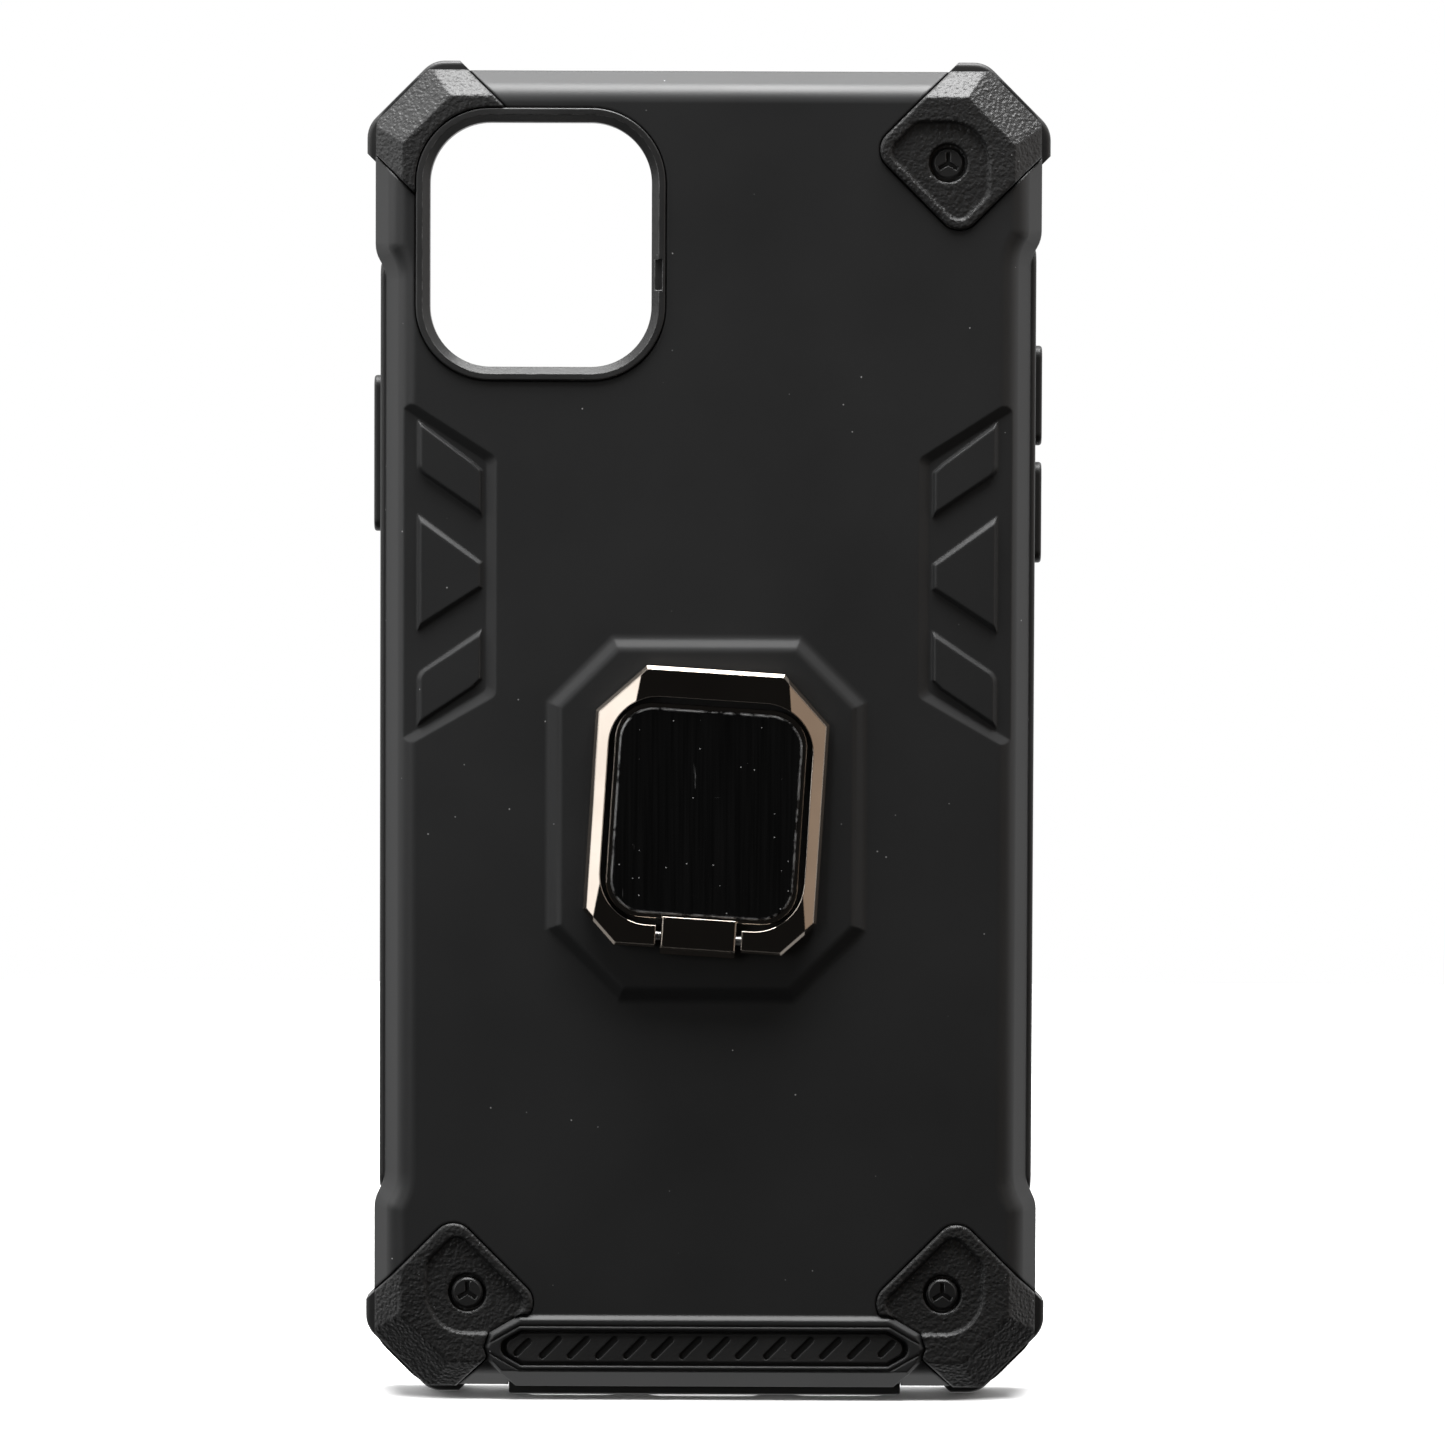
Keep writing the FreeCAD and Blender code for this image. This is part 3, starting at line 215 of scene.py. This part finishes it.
def gloss_material():
    """Near-black gloss, brushed along its length, with scratches, dust, and a light edge line that is partly
    scuff and partly a painted highlight.
    """
    t = Tree("gloss_inlay")
    brush = t.noise(2600.0, 2.0, t.scaled((1.0, 1.0, 0.02)))
    scratch_a = t.remap(t.noise(700.0, 4.0, t.scaled((1.0, 1.0, 0.10), (0.0, 0.5, 0.0))), 0.68, 0.76)
    scratch_b = t.remap(t.noise(500.0, 4.0, t.scaled((0.10, 1.0, 1.0), (0.0, -0.35, 0.0))), 0.70, 0.78)
    dust = specks(t, 1200.0, 0.15, 0.12)
    # light grey line along the plate's edges: a painted edge highlight as well as scuff
    scuff_and_edge_highlight = edge_wear_and_highlight(t, 0.00035, 0.40, 0.55)
    marks_and_edge_highlight = t.math("MAXIMUM", t.math("MAXIMUM", scratch_a, scratch_b), t.math("MAXIMUM", dust, scuff_and_edge_highlight))
    colour = t.mix(marks_and_edge_highlight, t.mix(t.remap(brush, 0.35, 0.7), grey(0.003), grey(0.006)), grey(0.42))
    rough = t.math("ADD", t.remap(brush, 0.35, 0.7, 0.045, 0.09), t.math("MULTIPLY", marks_and_edge_highlight, 0.35))
    normal = t.bump(brush, 0.03, 0.00002, t.soft_edges(INLAY_SOFT))
    return t.finish(colour, rough, normal)


def steel_material():
    t = Tree("plain_steel")
    brush = t.noise(3000.0)
    colour = t.mix(brush, grey(0.42, 0.02), grey(0.55, 0.02))
    rough = t.remap(brush, *CLOUD, 0.24, 0.38)
    return t.finish(colour, rough, t.bump(brush, 0.1, 0.00003), metallic=1.0)


def nylon_material():
    t = Tree("nylon")
    cloud = t.noise(300.0, 3.0)
    colour = t.mix(cloud, grey(0.55, 0.04), grey(0.66, 0.03))
    rough = t.remap(cloud, *CLOUD, 0.45, 0.6)
    return t.finish(colour, rough, t.bump(cloud, 0.1, 0.00003))


def dress(names, material):
    """Give each named node the one material."""
    for name in names:
        slots = nodes[name].data.materials
        slots.clear()
        slots.append(material)


GUARDS = ["corner_guard_top_left", "corner_guard_top_right", "corner_guard_bottom_left",
          "corner_guard_bottom_right"]
STUDS = ["corner_stud_top_right", "corner_stud_bottom_left", "corner_stud_bottom_right"]
dress(["outer_shell"], shell_material())
dress(["inner_liner", "side_button", "volume_up_button", "volume_down_button"],
      rubber_material("liner_rubber", 0.020, 0.42, 0.52, 5000.0, 0.00002))
# the camera rim's edges are lightened: wear plus a painted edge highlight
dress(["camera_rim"], rubber_material("rim_rubber", 0.022, 0.34, 0.46, 4000.0, 0.00003, SMALL_SOFT, 0.8))
dress(GUARDS, rubber_material("guard_rubber", 0.016, 0.36, 0.44, 2300.0, 0.00022, GUARD_SOFT))
dress(["grip_bar"], rubber_material("bar_rubber", 0.018, 0.40, 0.50, 3500.0, 0.00004))
# the studs' edges are lightened: wear plus a painted edge highlight
dress(STUDS, rubber_material("stud_plastic", 0.016, 0.30, 0.40, 5000.0, 0.00002, SMALL_SOFT, 0.5))
dress(["swivel_base", "ring_frame"], metal_material())
dress(["face_plate"], gloss_material())
dress(["hinge_pin", "swivel_rivet", "backing_washer", "spring_washer"], steel_material())
dress(["friction_washer"], nylon_material())


# ------------------------------------------------------------------ floor, backdrop and light
def plane(name, corners, material):
    mesh = bpy.data.meshes.new(name)
    mesh.from_pydata(corners, [], [tuple(range(len(corners)))])
    made = bpy.data.objects.new(name, mesh)
    mesh.materials.append(material)
    scene.collection.objects.link(made)
    return made


def pale(name, level):
    t = Tree(name)
    return t.finish(grey(level), 0.6, specular=0.2)


FLOOR = 0.6                                 # half of the floor's side, in metres
floor = plane("floor", [(-FLOOR, -FLOOR, 0), (FLOOR, -FLOOR, 0), (FLOOR, FLOOR, 0), (-FLOOR, FLOOR, 0)],
              pale("pale_floor", 0.93))
floor.visible_diffuse = False
floor.visible_glossy = False


def softbox(name, place, target, width, height, power, colour=(1.0, 1.0, 1.0)):
    data = bpy.data.lights.new(name, "AREA")
    data.shape = "RECTANGLE"
    data.size, data.size_y = width, height
    data.energy = power
    data.color = colour
    lamp = bpy.data.objects.new(name, data)
    lamp.location = place
    lamp.rotation_euler = (Vector(target) - Vector(place)).to_track_quat("-Z", "Y").to_euler()
    scene.collection.objects.link(lamp)


MIDDLE = (0.0, 0.0, 0.08)
RING = (0.0, 0.0, 0.073)
softbox("top_box", (0.0, -0.12, 0.95), MIDDLE, 0.9, 0.5, 26.0)
softbox("left_box", (-0.85, -0.25, 0.50), (0.0, 0.0, 0.10), 0.5, 0.8, 3.6)
softbox("right_box", (0.85, -0.25, 0.25), MIDDLE, 0.5, 0.8, 1.0, (1.0, 0.93, 0.88))
softbox("left_card", (-0.486, -0.75, 0.17), RING, 0.26, 0.40, 0.85)
softbox("right_card", (0.494, -0.75, 0.11), RING, 0.26, 0.40, 0.20, (1.0, 0.80, 0.64))


def studio_world():
    """White to the eye, but dark in front of the case and bright behind it for everything else."""
    world = bpy.data.worlds.new("room")
    scene.world = world
    world.use_nodes = True
    tree = world.node_tree
    room = tree.nodes["Background"]
    backdrop = tree.nodes.new("ShaderNodeBackground")
    coords = tree.nodes.new("ShaderNodeTexCoord")
    split = tree.nodes.new("ShaderNodeSeparateXYZ")
    ramp = tree.nodes.new("ShaderNodeMapRange")
    rays = tree.nodes.new("ShaderNodeLightPath")
    choose = tree.nodes.new("ShaderNodeMixShader")
    for name, number in (("From Min", -0.15), ("From Max", 0.35), ("To Min", 0.015), ("To Max", 1.2)):
        ramp.inputs[name].default_value = number
    for background in (room, backdrop):
        background.inputs["Color"].default_value = (1, 1, 1, 1)
    for source, target in ((coords.outputs["Generated"], split.inputs[0]),
                           (split.outputs["Y"], ramp.inputs["Value"]),
                           (ramp.outputs["Result"], room.inputs["Strength"]),
                           (rays.outputs["Is Camera Ray"], choose.inputs[0]),
                           (room.outputs[0], choose.inputs[1]),
                           (backdrop.outputs[0], choose.inputs[2]),
                           (choose.outputs[0], tree.nodes["World Output"].inputs["Surface"])):
        tree.links.new(source, target)


studio_world()
